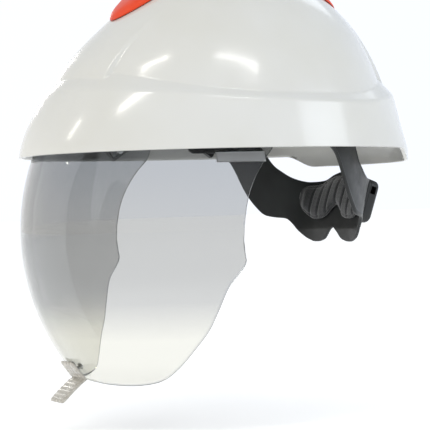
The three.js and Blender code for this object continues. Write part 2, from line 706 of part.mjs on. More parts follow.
function buildGears(ratchet) {
  const low = GEAR_FRONT;
  const high = GEAR_FRONT + GEAR_WIDTH;
  const pinionBody = new THREE.ExtrudeGeometry(pinionShape(), { depth: GEAR_WIDTH, bevelEnabled: false });
  pinionBody.rotateX(Math.PI / 2).translate(0, high, 0);
  const shaft = yPost(4, high - 1, CASE_BACK + 0.6, 20);
  const socket = yPost(1.2, CASE_BACK - 5, CASE_BACK + 2, 10);
  const pivot = yPost(2, CASE_FRONT - 1.6, low + 1, 16);
  const pinion = solidOf(pinionBody).add(solidOf(shaft)).add(solidOf(pivot)).subtract(solidOf(socket));
  addMesh('ratchet_pinion', pinion, ACETAL, ratchet);

  for (const [side, name] of [[1, 'left'], [-1, 'right']]) {
    const rack = new THREE.ExtrudeGeometry(rackShape(), { depth: GEAR_WIDTH, bevelEnabled: false });
    rack.rotateX(Math.PI / 2).translate(0, high, 0);
    if (side < 0) rack.rotateY(Math.PI);
    addMesh(`adjuster_rack_${name}`, rack, BLACK, ratchet);
  }
}

function buildKnob(ratchet) {
  const front = CASE_BACK + GAP;
  const points = [];
  const steps = KNOB.flutes * 4;
  for (let i = 0; i < steps; i += 1) {
    const angle = Math.PI * 2 * i / steps;
    const radius = KNOB.radius - 0.6 + 0.6 * Math.cos(angle * KNOB.flutes);
    points.push(new THREE.Vector2(radius * Math.cos(angle), radius * Math.sin(angle)));
  }
  const body = new THREE.ExtrudeGeometry(new THREE.Shape(points), { depth: KNOB.depth, bevelEnabled: false });
  body.rotateX(Math.PI / 2).translate(0, front + KNOB.depth, 0);
  let knob = solidOf(body);
  knob = knob.subtract(solidOf(yPost(4.4, front - 1, CASE_BACK + 1, 20)));
  knob = knob.subtract(solidOf(yPost(1.6, front - 1, front + KNOB.depth + 1, 12)));
  knob = knob.subtract(solidOf(yPost(3, front + KNOB.depth - 3, front + KNOB.depth + 1, 16)));
  addMesh('ratchet_knob', knob, BLACK, ratchet);
  const screw = alongY(screwGeometry(0.95, 8.6, 2.4)).rotateZ(Math.PI);
  addMesh('knob_screw', screw.translate(0, front + KNOB.depth - 3 + GAP, 0), STEEL, ratchet);
}

// A leaf ring in the case clicks against the pinion's shaft.
function buildDetent(ratchet) {
  const outer = new THREE.Shape();
  outer.absarc(0, 0, 7.4, 0, Math.PI * 2, false);
  const inner = new THREE.Path();
  inner.absarc(0, 0, 4.5, 0, Math.PI * 2, true);
  outer.holes.push(inner);
  const leaf = new THREE.ExtrudeGeometry(outer, { depth: 0.5, bevelEnabled: false, curveSegments: 14 });
  leaf.rotateX(Math.PI / 2).translate(0, GEAR_FRONT + GEAR_WIDTH + 0.8, 0);
  addMesh('detent_spring', leaf, STEEL, ratchet);
}

// ---------- crest ----------
const CREST_SCREWS = [52, -60];
const CREST_SEAT = 3;

// Plan outline: a round nose, sides that spread towards the back, and a round tail.
function crestHalf(forward) {
  const { noseFrom, tailFrom, noseHalf, tailHalf } = CREST;
  const spread = THREE.MathUtils.mapLinear(forward, noseFrom, tailFrom, noseHalf, tailHalf);
  const nose = clamp01((forward - CREST.noseFrom) / (CREST.front - CREST.noseFrom));
  const tail = clamp01((CREST.tailFrom - forward) / (CREST.tailFrom - CREST.rear));
  return spread * Math.sqrt(Math.max(0.02, 1 - nose ** 2)) * Math.sqrt(Math.max(0.02, 1 - tail ** 2.4));
}

function crestHeight(forward, across) {
  const fall = 0.45 + 0.55 * ramp(CREST.rear, -20, forward);
  const nose = 0.72 + 0.28 * ramp(CREST.front, 60, forward);
  return CREST.height * fall * nose * (1 - 0.35 * across ** 4);
}

function buildCrest(shell) {
  const geometry = new THREE.BoxGeometry(1, 1, 1, 8, 24, 1);
  mapped(geometry, (point) => {
    const along = Math.sin(-point.y * Math.PI) / 2 + 0.5;
    const forward = THREE.MathUtils.lerp(CREST.rear, CREST.front, along);
    const across = point.x * 2;
    const left = across * crestHalf(forward);
    const base = shellTop(forward, left) + GAP;
    point.set(left, -forward, base + (point.z > 0 ? crestHeight(forward, across) : 0));
  });
  let crest = solidOf(geometry).subtract(shell.translate(0, 0, 2 * GAP));
  CREST_SCREWS.forEach((forward, index) => {
    const top = shellTop(forward, 0);
    crest = crest.subtract(solidOf(post(1.8, top - 4, top + 5, 12).translate(0, -forward, 0)));
    const screw = screwGeometry(1.5, 7, 3.2).translate(0, -forward, top - CREST_SEAT - GAP);
    addMesh(`crest_screw_${index ? 'rear' : 'front'}`, screw, STEEL);
  });
  addMesh('crest', crest, ORANGE);
}

// ---------- pull tab: a leaf riveted to the outside of the shield, and a blade below its edge ----------
const TAB = { width: 24, leafTop: -34.5, leafBottom: -40.2, leaf: 2.4, rivetAngle: -37, rivetX: 7 };

function tabShape() {
  const inner = SHIELD.radius + GAP + 0.1;
  const outer = inner + TAB.leaf;
  const corner = (radius, angle) => new THREE.Vector2(...polar(radius, angle));
  const points = [];
  const angles = [0, 1, 2, 3, 4].map((i) => TAB.leafBottom + (TAB.leafTop - TAB.leafBottom) * i / 4);
  angles.forEach((angle) => points.push(corner(outer, angle)));
  angles.reverse().forEach((angle) => points.push(corner(inner, angle)));
  points.push(new THREE.Vector2(118.2, -162.4), new THREE.Vector2(135.8, -178.4));
  points.push(new THREE.Vector2(138.4, -177), new THREE.Vector2(138.2, -174.6));
  return new THREE.Shape(points);
}

function tabRivets() {
  const radial = new THREE.Vector3(0, -Math.cos(deg(TAB.rivetAngle)), Math.sin(deg(TAB.rivetAngle)));
  const [forward, up] = polar(SHIELD.radius - SHIELD.thickness - 1.9, TAB.rivetAngle);
  return [-1, 1].map((side) => ({ side, radial, place: at(forward, side * TAB.rivetX, up) }));
}

function buildTab() {
  let tab = solidOf(acrossFrom(tabShape(), -TAB.width / 2, TAB.width / 2));
  for (const { side, radial, place } of tabRivets()) {
    tab = tab.subtract(solidOf(aim(post(1.5, -2, 8, 12), place, radial)));
    const profile = [[0, -0.9], [1.8, -0.9], [2.6, 0], [2.6, 0.5], [1.2, 0.5], [1.2, 5.8], [0, 5.8]];
    const points = profile.map(([radius, along]) => new THREE.Vector2(radius, along));
    const rivet = new THREE.LatheGeometry(points, 12).rotateX(Math.PI / 2);
    addMesh(`tab_rivet_${side > 0 ? 'left' : 'right'}`, aim(rivet, place, radial), STEEL);
  }
  addMesh('pull_tab', tab, TAB_GREY);
}

buildCrest(buildShell());
buildShield();
for (const [side, name] of [[1, 'left'], [-1, 'right']]) {
  buildShoe(side, name);
  buildRail(side, name);
}
buildHarnessFrame();
CROWN_STRAPS.forEach(buildCrownStrap);
buildHeadband();
buildNape();
const ratchet = buildRatchetGroup();
buildCase(ratchet);
buildGears(ratchet);
buildKnob(ratchet);
buildDetent(ratchet);
buildTab();

export default helmet;
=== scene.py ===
import math

import bmesh
import bpy
import numpy as np
from mathutils import Matrix, Quaternion, Vector


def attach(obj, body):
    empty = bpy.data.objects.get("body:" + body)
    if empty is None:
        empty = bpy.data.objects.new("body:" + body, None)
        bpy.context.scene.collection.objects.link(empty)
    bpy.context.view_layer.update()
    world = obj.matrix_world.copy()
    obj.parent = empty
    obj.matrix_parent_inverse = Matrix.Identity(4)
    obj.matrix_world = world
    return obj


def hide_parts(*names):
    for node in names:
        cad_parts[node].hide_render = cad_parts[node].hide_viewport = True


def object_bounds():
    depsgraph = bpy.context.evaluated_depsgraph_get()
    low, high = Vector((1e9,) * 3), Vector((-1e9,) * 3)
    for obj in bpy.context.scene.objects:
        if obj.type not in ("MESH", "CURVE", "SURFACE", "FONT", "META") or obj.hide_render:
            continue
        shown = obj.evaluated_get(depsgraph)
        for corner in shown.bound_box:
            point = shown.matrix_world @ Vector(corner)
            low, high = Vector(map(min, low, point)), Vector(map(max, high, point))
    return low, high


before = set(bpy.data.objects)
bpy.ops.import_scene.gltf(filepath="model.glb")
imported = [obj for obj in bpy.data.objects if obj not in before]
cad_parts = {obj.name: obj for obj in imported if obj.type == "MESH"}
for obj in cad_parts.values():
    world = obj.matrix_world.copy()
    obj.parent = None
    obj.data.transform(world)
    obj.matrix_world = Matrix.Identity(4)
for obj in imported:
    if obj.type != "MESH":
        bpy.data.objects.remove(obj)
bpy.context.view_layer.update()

# Lengths are in metres. Forward is -Y, the wearer's left is +X, up is +Z.
MM = 0.001

# ---------- driving shape of the shell, the same as the CAD shell ----------
OVAL_POWER = 2.1
DOME = dict(height=142.5, power=1.85, front=139.5, rear=139, half=115, crown_tuck=0.08)
RIM = dict(front=155.5, rear=148.5, half=118.5, nape_drop=9)
LEDGE = dict(side=33, front_rise=14, rear_rise=10)
RIB = dict(half=47, step=3.5, fade_from=46, fade_to=108)
WALL = 2.5
SHIELD = dict(forward=-5, height=-57, radius=160, half=112, thickness=2)
NAPE = dict(forward=-109, height=-36, lean=math.radians(20), thickness=2.6, straight_below=-60)


# ---------- materials ----------
class Finish:
    """A node material whose shader is one Principled BSDF."""

    def __init__(self, name, color, roughness, metallic=0.0, **sockets):
        self.material = bpy.data.materials.new(name)
        self.material.use_nodes = True
        self.nodes = self.material.node_tree.nodes
        self.links = self.material.node_tree.links
        self.shader = self.nodes["Principled BSDF"]
        self.set("Base Color", (*color, 1.0))
        self.set("Roughness", roughness)
        self.set("Metallic", metallic)
        for key, value in sockets.items():
            self.set(key.replace("_", " "), value)
        self.coords = self.nodes.new("ShaderNodeTexCoord").outputs["Object"]

    def set(self, socket, value):
        self.shader.inputs[socket].default_value = value

    def noise(self, scale, detail=2.0, rough=0.5, stretch=None):
        node = self.nodes.new("ShaderNodeTexNoise")
        node.inputs["Scale"].default_value = scale
        node.inputs["Detail"].default_value = detail
        node.inputs["Roughness"].default_value = rough
        self.links.new(self.place(stretch), node.inputs["Vector"])
        return node.outputs["Fac"]

    def place(self, stretch):
        if stretch is None:
            return self.coords
        node = self.nodes.new("ShaderNodeMapping")
        node.inputs["Scale"].default_value = stretch
        self.links.new(self.coords, node.inputs["Vector"])
        return node.outputs["Vector"]

    def wave(self, scale, direction, stretch=None):
        node = self.nodes.new("ShaderNodeTexWave")
        node.bands_direction = direction
        node.inputs["Scale"].default_value = scale
        self.links.new(self.place(stretch), node.inputs["Vector"])
        return node.outputs["Fac"]

    def ramp(self, value, stops):
        node = self.nodes.new("ShaderNodeValToRGB")
        ramp = node.color_ramp
        while len(ramp.elements) < len(stops):
            ramp.elements.new(0.5)
        for element, (position, color) in zip(ramp.elements, stops):
            element.position = position
            element.color = (*color, 1.0)
        self.links.new(value, node.inputs["Fac"])
        return node.outputs["Color"]

    def multiply(self, a, b):
        node = self.nodes.new("ShaderNodeMath")
        node.operation = "MULTIPLY"
        self.links.new(a, node.inputs[0])
        self.links.new(b, node.inputs[1])
        return node.outputs["Value"]

    def span(self, value, low, high, start=0.0, end=1.0):
        node = self.nodes.new("ShaderNodeMapRange")
        node.inputs["From Min"].default_value = low
        node.inputs["From Max"].default_value = high
        node.inputs["To Min"].default_value = start
        node.inputs["To Max"].default_value = end
        self.links.new(value, node.inputs["Value"])
        return node.outputs["Result"]

    def axis(self, letter):
        node = self.nodes.new("ShaderNodeSeparateXYZ")
        self.links.new(self.coords, node.inputs[0])
        return node.outputs[letter]

    def color(self, output):
        self.links.new(output, self.shader.inputs["Base Color"])

    def roughness(self, output):
        self.links.new(output, self.shader.inputs["Roughness"])

    def bump(self, height, strength, distance):
        node = self.nodes.new("ShaderNodeBump")
        node.inputs["Strength"].default_value = strength
        node.inputs["Distance"].default_value = distance
        self.links.new(height, node.inputs["Height"])
        self.links.new(node.outputs["Normal"], self.shader.inputs["Normal"])


def shell_finish():
    """Glossy white ABS: a faint moulding ripple, soft scuffs and a slightly warm cloudy tone."""
    finish = Finish("shell_white", (0.72, 0.73, 0.70), 0.16, Coat_Weight=0.15, Coat_Roughness=0.04)
    finish.set("Subsurface Weight", 0.06)
    finish.set("Subsurface Radius", (0.004, 0.004, 0.003))
    clouds = finish.noise(14.0, 3.0)
    finish.color(finish.ramp(clouds, [(0.3, (0.655, 0.652, 0.612)), (0.7, (0.688, 0.690, 0.666))]))
    scuffs = finish.noise(60.0, 6.0, 0.62)
    finish.roughness(finish.span(scuffs, 0.35, 0.8, 0.13, 0.24))
    finish.bump(finish.noise(9.0, 2.0), 0.08, 0.0009)
    return finish.material


def crest_finish():
    """Orange-red moulded plastic with a fine spark-eroded grain."""
    finish = Finish("crest_orange", (0.80, 0.065, 0.015), 0.45, Coat_Weight=0.06, Coat_Roughness=0.2)
    finish.set("Specular IOR Level", 0.32)
    tone = finish.noise(24.0, 3.0)
    finish.color(finish.ramp(tone, [(0.3, (0.72, 0.048, 0.008)), (0.7, (0.84, 0.074, 0.016))]))
    finish.roughness(finish.span(finish.noise(90.0, 4.0), 0.3, 0.8, 0.38, 0.52))
    finish.bump(finish.noise(1500.0, 2.0), 0.12, 0.00012)
    return finish.material


def shield_finish():
    """Clear polished sheet with a light tint and faint wipe marks. Its colour turns grey and darker towards
    its top: painted shade standing in for the rim's shadow and the dark space seen through the sheet.
    """
    finish = Finish("shield_clear", (0.93, 0.94, 0.94), 0.015, Transmission_Weight=1.0, IOR=1.46)
    height = finish.axis("Z")
    level = finish.span(height, -0.15, 0.0)
    # Painted shade: the stops grow greyer and darker with height, for the rim's shadow and the dark space
    # behind the sheet; only the light tint low down is the sheet's own.
    clear, grey, top = (0.79, 0.78, 0.72), (0.56, 0.56, 0.55), (0.52, 0.53, 0.54)
    finish.color(finish.ramp(level, [(0.0, clear), (0.12, clear), (0.3, grey), (0.6, grey), (1.0, top)]))
    marks = finish.noise(35.0, 5.0, 0.6, stretch=(1.0, 1.0, 0.25))
    finish.roughness(finish.span(marks, 0.5, 0.85, 0.008, 0.05))
    return finish.material


def edge_finish():
    """The cut and polished edge of the shield, which carries light like a fibre."""
    finish = Finish("shield_edge", (0.62, 0.64, 0.66), 0.12, Transmission_Weight=0.55, IOR=1.46)
    finish.roughness(finish.span(finish.noise(300.0, 3.0), 0.3, 0.8, 0.08, 0.22))
    return finish.material


def strip_finish():
    """A frosted marking strip left blank."""
    finish = Finish("shield_strip", (0.70, 0.71, 0.72), 0.45, Transmission_Weight=0.8, IOR=1.46)
    finish.roughness(finish.span(finish.noise(400.0, 3.0), 0.3, 0.8, 0.4, 0.55))
    return finish.material


def tab_finish():
    """Translucent grey moulded grip."""
    finish = Finish("tab_grey", (0.60, 0.57, 0.52), 0.28, Transmission_Weight=0.25, IOR=1.5)
    mottle = finish.noise(120.0, 3.0)
    finish.color(finish.ramp(mottle, [(0.3, (0.56, 0.53, 0.47)), (0.7, (0.68, 0.66, 0.61))]))
    finish.roughness(finish.span(finish.noise(240.0, 3.0), 0.3, 0.8, 0.2, 0.36))
    return finish.material


def black_finish(name, tone, grain):
    """Satin black moulded plastic with a fine leather-like mould grain."""
    finish = Finish(name, (tone, tone * 1.08, tone * 1.1), 0.42)
    finish.set("Specular IOR Level", 0.35)
    mottle = finish.noise(45.0, 4.0)
    dark = (tone * 0.8, tone * 0.87, tone * 0.88)
    light = (tone * 1.3, tone * 1.42, tone * 1.45)
    finish.color(finish.ramp(mottle, [(0.3, dark), (0.72, light)]))
    finish.roughness(finish.span(finish.noise(130.0, 5.0), 0.3, 0.8, 0.34, 0.52))
    finish.bump(finish.noise(grain, 3.0), 0.22, 0.00018)
    return finish.material


def webbing_finish():
    """Black woven polyester: a tight rib along and across the strap."""
    finish = Finish("webbing_black", (0.03, 0.032, 0.035), 0.8, Sheen_Weight=0.5, Sheen_Roughness=0.45)
    warp = finish.wave(420.0, "DIAGONAL", stretch=(1, 1, 0.4))
    weft = finish.wave(420.0, "DIAGONAL", stretch=(-1, 1, 0.4))
    weave = finish.multiply(warp, weft)
    finish.color(finish.ramp(weave, [(0.1, (0.012, 0.013, 0.015)), (0.8, (0.055, 0.058, 0.062))]))
    finish.bump(weave, 0.6, 0.0004)
    return finish.material


def pad_finish():
    """Cloth-faced foam: a fine knit with small perforations."""
    finish = Finish("pad_cloth", (0.03, 0.032, 0.034), 0.9, Sheen_Weight=0.6, Sheen_Roughness=0.5)
    knit = finish.multiply(finish.wave(300.0, "X"), finish.wave(300.0, "Z"))
    finish.color(finish.ramp(knit, [(0.05, (0.010, 0.011, 0.012)), (0.7, (0.045, 0.048, 0.052))]))
    finish.bump(knit, 0.55, 0.0005)
    return finish.material


def steel_finish():
    """Bright zinc plate with a fine turned grain."""
    finish = Finish("zinc_steel", (0.58, 0.59, 0.60), 0.3, 1.0)
    finish.roughness(finish.span(finish.noise(420.0, 4.0), 0.3, 0.8, 0.22, 0.42))
    finish.bump(finish.noise(900.0, 2.0), 0.1, 0.00008)
    return finish.material


def acetal_finish():
    """Natural acetal, waxy and slightly translucent."""
    finish = Finish("acetal_natural", (0.74, 0.73, 0.69), 0.36)
    finish.set("Subsurface Weight", 0.15)
    finish.roughness(finish.span(finish.noise(200.0, 3.0), 0.3, 0.8, 0.3, 0.45))
    return finish.material


SHELL = shell_finish()
CREST_ORANGE = crest_finish()
SHIELD_CLEAR = shield_finish()
SHIELD_EDGE = edge_finish()
SHIELD_STRIP = strip_finish()
TAB_GREY = tab_finish()
BLACK = black_finish("harness_black", 0.021, 1400.0)
KNOB_BLACK = black_finish("knob_black", 0.018, 900.0)
WEBBING = webbing_finish()
PAD = pad_finish()
STEEL = steel_finish()
ACETAL = acetal_finish()

NODE_FINISHES = {
    "guide_rail": BLACK, "guide_shoe": ACETAL, "harness_frame": BLACK, "hanger": BLACK,
    "ratchet_pinion": ACETAL, "adjuster_rack": BLACK, "detent_spring": STEEL,
    "ratchet_cover": BLACK, "shoe_rivet": STEEL, "tab_rivet": STEEL,
}


def finish_for(node):
    if "screw" in node:
        return STEEL
    for start, material in NODE_FINISHES.items():
        if node.startswith(start):
            return material
    return BLACK


def dress_frame():
    for name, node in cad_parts.items():
        node.data.materials.clear()
        node.data.materials.append(finish_for(name))


# ---------- mesh helpers ----------
def new_piece(name, vertices, faces, material, body, smooth=True):
    mesh = bpy.data.meshes.new(name)
    mesh.from_pydata([tuple(v) for v in vertices], [], faces)
    mesh.update()
    piece = bpy.data.objects.new(name, mesh)
    bpy.context.scene.collection.objects.link(piece)
    mesh.materials.append(material)
    if smooth:
        mesh.polygons.foreach_set("use_smooth", [True] * len(mesh.polygons))
    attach(piece, body)
    return piece


def grid_faces(rows, columns, wrap, offset=0):
    """Quads of a grid whose rows run up and whose columns run along."""
    faces = []
    last = columns if wrap else columns - 1
    for row in range(rows - 1):
        for column in range(last):
            a = offset + row * columns + column
            b = offset + row * columns + (column + 1) % columns
            faces.append((a, b, b + columns, a + columns))
    return faces


def to_model(forward, left, up):
    """Forward, left and up in millimetres to the model's axes in metres."""
    return np.stack([left, -forward, up], axis=-1) * MM


def recalc(piece):
    work = bmesh.new()
    work.from_mesh(piece.data)
    bmesh.ops.recalc_face_normals(work, faces=work.faces)
    work.to_mesh(piece.data)
    work.free()


def apply_modifiers(piece):
    bpy.context.view_layer.update()
    graph = bpy.context.evaluated_depsgraph_get()
    shaped = bpy.data.meshes.new_from_object(piece.evaluated_get(graph))
    old = piece.data
    piece.modifiers.clear()
    piece.data = shaped
    bpy.data.meshes.remove(old)


# ---------- shell surface ----------
def ramp(start, end, value):
    t = np.clip((value - start) / (end - start), 0.0, 1.0)
    return t * t * (3 - 2 * t)


def soft_max(a, b, rounding):
    t = np.clip(0.5 + (a - b) / (2 * rounding), 0.0, 1.0)
    return b + (a - b) * t + rounding * t * (1 - t)


def oval(angle, front, rear, half):
    c = np.cos(angle)
    s = np.sin(angle)
    length = np.where(c > 0, front, rear)
    return (np.abs(c / length) ** OVAL_POWER + np.abs(s / half) ** OVAL_POWER) ** (-1 / OVAL_POWER)


def shell_centre(z):
    return -3 - 0.0005 * np.maximum(z, 0) ** 2


def dome_radius(angle, z):
    front = DOME["front"] * (1 - DOME["crown_tuck"] * ramp(60, 110, z))
    level = np.sqrt(np.maximum(0, 1 - (np.maximum(z, 0) / DOME["height"]) ** DOME["power"]))
    radius = oval(angle, front, DOME["rear"], DOME["half"]) * level
    side = np.abs(radius * np.sin(angle))
    panel = ramp(RIB["half"] - 1.3, RIB["half"] + 1.3, side)
    return radius - panel * RIB["step"] * (1 - ramp(RIB["fade_from"], RIB["fade_to"], z))


def ledge_height(angle):
    rear = ramp(math.radians(120), math.radians(165), np.abs(angle))
    front = ((1 + np.cos(angle)) / 2) ** 4
    return LEDGE["side"] + LEDGE["front_rise"] * front + LEDGE["rear_rise"] * rear


def band_radius(angle, z):
    ahead = np.maximum(0, np.cos(angle))
    taper = (0.09 + 0.055 * ahead) * (np.maximum(z, 0) / 50) ** (1 + 0.5 * ahead)
    return oval(angle, RIM["front"], RIM["rear"], RIM["half"]) * (1 - taper)


# The ledge's slope runs under the dome well before this far above the ledge.
SHOULDER_REACH = 40


def shell_radius(angle, z):
    ledge = ledge_height(angle)
    above = z - ledge
    shoulder = band_radius(angle, ledge) - above - 2 * np.maximum(0, above - SHOULDER_REACH)
    band = -soft_max(-band_radius(angle, z), -shoulder, 1.1)
    return np.maximum(0, soft_max(dome_radius(angle, z), band, 0.5))


def rim_height(angle):
    return -RIM["nape_drop"] * ramp(math.radians(142), math.radians(152), np.abs(angle))


def shell_point(angle, z):
    """Forward, left and up of the outer surface."""
    radius = shell_radius(angle, z)
    return shell_centre(z) + radius * np.cos(angle), radius * np.sin(angle), z


def shell_top(forward, left):
    """Height of the outer surface over a place in plan, found by halving."""
    low = np.zeros(np.broadcast(forward, left).shape)
    high = low + DOME["height"]
    for _ in range(30):
        z = (low + high) / 2
        ahead = forward - shell_centre(z)
        inside = np.hypot(ahead, left) < shell_radius(np.arctan2(left, ahead), z)
        low = np.where(inside, z, low)
        high = np.where(inside, high, z)
    return (low + high) / 2


def shell_rows(angle):
    """Heights of the outer rows at an angle; they crowd where the ledge turns."""
    rim = rim_height(angle)
    ledge = ledge_height(angle)
    rows = [rim + 0.8 * k / 3 for k in range(1, 4)]
    rows += [rim + 0.8 + (ledge - 4 - rim - 0.8) * k / 16 for k in range(1, 17)]
    rows += [ledge - 4 + 16 * k / 32 for k in range(1, 33)]
    top = ledge + 12
    rows += [top + (DOME["height"] - top) * math.sin(math.pi / 2 * k / 72) for k in range(1, 72)]
    return np.array(rows)


def build_shell():
    columns = 560
    angles = (np.arange(columns) / columns * 2 - 1) * math.pi
    heights = shell_rows(angles)
    grid_angle = np.broadcast_to(angles, heights.shape)
    forward, left, up = shell_point(grid_angle, heights)
    outer = to_model(forward, left, up)
    # Inner wall, offset along the outer wall's own slope.
    slope_up = np.gradient(outer, axis=0)
    slope_round = np.roll(outer, -1, axis=1) - np.roll(outer, 1, axis=1)
    normal = np.cross(slope_round, slope_up)
    normal /= np.linalg.norm(normal, axis=2, keepdims=True)
    inner = outer - normal * WALL * MM
    rim = rim_height(angles)
    outward = np.stack([np.sin(angles), -np.cos(angles), np.zeros(columns)], axis=-1)
    base = to_model(*shell_point(angles, rim))
    lip = []
    for inset, lift in ((0.05, 0.35), (0.4, 0.0), (WALL - 0.4, 0.0), (WALL - 0.05, 0.35)):
        ring = base - outward * inset * MM
        ring[:, 2] = (rim + lift) * MM
        lip.append(ring)
    inner[:, :, 2] = np.maximum(inner[:, :, 2], (rim + 0.5) * MM)
    rows = [inner[k] for k in range(inner.shape[0] - 1, -1, -1)]
    rows += [lip[3], lip[2], lip[1], lip[0]]
    rows += [outer[k] for k in range(outer.shape[0])]
    points = np.concatenate(rows)
    faces = grid_faces(len(rows), columns, True)
    apex_z = DOME["height"]
    apex = to_model(shell_centre(apex_z), 0.0, apex_z)
    inner_apex = apex - np.array([0, 0, WALL * MM])
    points = np.concatenate([points, [apex, inner_apex]])
    top = (len(rows) - 1) * columns
    count = len(rows) * columns
    for column in range(columns):
        after = (column + 1) % columns
        faces.append((top + column, top + after, count))
        faces.append((after, column, count + 1))
    shell = new_piece("shell_body", points, faces, SHELL, "helmet")
    recalc(shell)
    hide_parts("shell")


# ---------- crest ----------
CREST = dict(front=83.5, nose_from=40, nose_half=32, tail_from=-58, rear=-98, tail_half=47, height=7.5)


def crest_half(forward):
    stations = CREST["tail_from"], CREST["nose_from"]
    spread = np.interp(forward, stations, (CREST["tail_half"], CREST["nose_half"]))
    nose = np.clip((forward - CREST["nose_from"]) / (CREST["front"] - CREST["nose_from"]), 0, 1)
    tail = np.clip((CREST["tail_from"] - forward) / (CREST["tail_from"] - CREST["rear"]), 0, 1)
    return spread * np.sqrt(np.maximum(0, 1 - nose ** 2)) * np.sqrt(np.maximum(0, 1 - tail ** 2.4))


def crest_height(forward, across):
    fall = 0.45 + 0.55 * ramp(CREST["rear"], -20, forward)
    nose = 0.72 + 0.28 * ramp(CREST["front"], 60, forward)
    return CREST["height"] * fall * nose * (1 - 0.35 * across ** 4)


def build_crest():
    """A skin over the crown: rings run from the outline inwards, so its edge is evenly rounded."""
    columns = 240
    turn = np.arange(columns) / columns * 2 * math.pi
    middle = (CREST["front"] + CREST["rear"]) / 2
    length = (CREST["front"] - CREST["rear"]) / 2
    seat = 0.6
    groove_at = 0.86

    def outline(scale):
        forward = middle + length * np.cos(turn) * scale
        reach = crest_half(middle + length * np.cos(turn)) * scale
        return forward, reach * np.sign(np.sin(turn))

    profile = [(0.930, 0.0), (0.990, 0.0), (1.0, 0.08), (1.0, 0.45), (0.994, 0.72), (0.978, 0.92)]
    profile += [(scale, 1.0) for scale in (0.955, 0.90, groove_at)]
    profile += [(scale, 1.0) for scale in np.linspace(0.82, 0.02, 26)]
    rings = []
    for scale, rise in profile:
        forward, left = outline(scale)
        across = left / np.maximum(1, crest_half(forward))
        groove = 0.9 * np.exp(-((scale - groove_at) / 0.02) ** 2)
        height = crest_height(forward, np.clip(across, -1, 1)) * rise - groove
        rings.append(to_model(forward, left, shell_top(forward, left) + seat + height))
    under = []
    for scale in np.linspace(groove_at, 0.02, 20):
        forward, left = outline(scale)
        under.append(to_model(forward, left, shell_top(forward, left) + seat))
    rows = under[::-1] + rings
    points = np.concatenate(rows)
    faces = grid_faces(len(rows), columns, True)
    last = (len(rows) - 1) * columns
    faces.append(tuple(range(columns - 1, -1, -1)))
    faces.append(tuple(last + k for k in range(columns)))
    crest = new_piece("crest_cover", points, faces, CREST_ORANGE, "helmet")
    recalc(crest)
    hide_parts("crest")


# ---------- lofts: a closed section swept along a row of frames ----------
def spline(points, count):
    """Evenly spaced places on a centripetal Catmull-Rom curve through the points."""
    points = np.array(points, float)
    padded = np.concatenate([[2 * points[0] - points[1]], points, [2 * points[-1] - points[-2]]])
    path = []
    for k in range(len(points) - 1):
        p = padded[k:k + 4]
        knots = np.concatenate([[0], np.cumsum(np.sqrt(np.linalg.norm(np.diff(p, axis=0), axis=1)))])

        def blend(start, end, low, high, t):
            return ((knots[end] - t) * low + (t - knots[start]) * high) / (knots[end] - knots[start])

        for t in np.linspace(knots[1], knots[2], 24, endpoint=False):
            a = [blend(i, i + 1, p[i], p[i + 1], t) for i in range(3)]
            b = [blend(i, i + 2, a[i], a[i + 1], t) for i in range(2)]
            path.append(blend(1, 2, b[0], b[1], t))
    path.append(points[-1])
    return resample(np.array(path), count)


def resample(path, count):
    lengths = np.concatenate([[0], np.cumsum(np.linalg.norm(np.diff(path, axis=0), axis=1))])
    places = np.linspace(0, lengths[-1], count)
    return np.stack([np.interp(places, lengths, path[:, k]) for k in range(path.shape[1])], axis=-1)


def loft(name, sections, material, body):
    """Joins a row of equal closed sections, in millimetres forward, left and up, and caps its ends."""
    sections = np.array(sections)
    rows, columns = sections.shape[:2]
    points = to_model(sections[..., 0], sections[..., 1], sections[..., 2]).reshape(-1, 3)
    faces = grid_faces(rows, columns, True)
    faces.append(tuple(range(columns - 1, -1, -1)))
    faces.append(tuple((rows - 1) * columns + k for k in range(columns)))
    piece = new_piece(name, points, faces, material, body)
    recalc(piece)
    return piece


def strip_section(low, high, inner, outer, fillet, rows):
    """A thin upright section: up its outside, over its round top, down its inside, as (out, up) pairs."""
    arc = [(1 - math.cos(a), math.sin(a)) for a in np.linspace(0, math.pi / 2, 5)]
    arc_back = [(1 - math.sin(a), math.cos(a)) for a in np.linspace(0, math.pi / 2, 5)]
    start, end = low + fillet, high - fillet
    up = list(np.linspace(start, end, rows))
    section = [(outer, z) for z in up]
    section += [(outer - fillet * a, end + fillet * b) for a, b in arc[1:]]
    section += [(inner + fillet * a, end + fillet * b) for a, b in arc_back]
    section += [(inner, z) for z in up[::-1][1:-1]]
    section += [(inner + fillet * a, start - fillet * b) for a, b in arc]
    section += [(outer - fillet * a, start - fillet * b) for a, b in arc_back[:-1]]
    return np.array(section)


# ---------- face shield ----------
# Forward and up of the sheet's outline in side view: its lower edge, its rear edge and its top.
SHIELD_OUTLINE = [
    (119, -161), (108, -164.5), (92, -165), (80.5, -161.5), (74, -154),
    (65, -138), (58.5, -126), (53, -110), (48, -96), (36.5, -79), (38.2, -68), (37.2, -52),
    (34.4, -37), (28, -22), (18, -7.5), (10, 1.5),
    (8, 12), (10, 24), (17, 30), (60, 25), (110, 22.7), (175, 20)]


def shield_limits():
    """Lower and upper turn, about the lift axis, of the sheet at each distance from that axis."""
    dense = spline(SHIELD_OUTLINE, 900)
    ahead = dense[:, 0] - SHIELD["forward"]
    rise = dense[:, 1] - SHIELD["height"]
    reach = np.hypot(ahead, rise)
    turn = np.arctan2(rise, ahead)
    wing = int(np.argmin(reach))
    lower = np.maximum.accumulate(reach[wing::-1]), turn[wing::-1]
    upper = np.maximum.accumulate(reach[wing:]), turn[wing:]
    return reach[wing], lower, upper


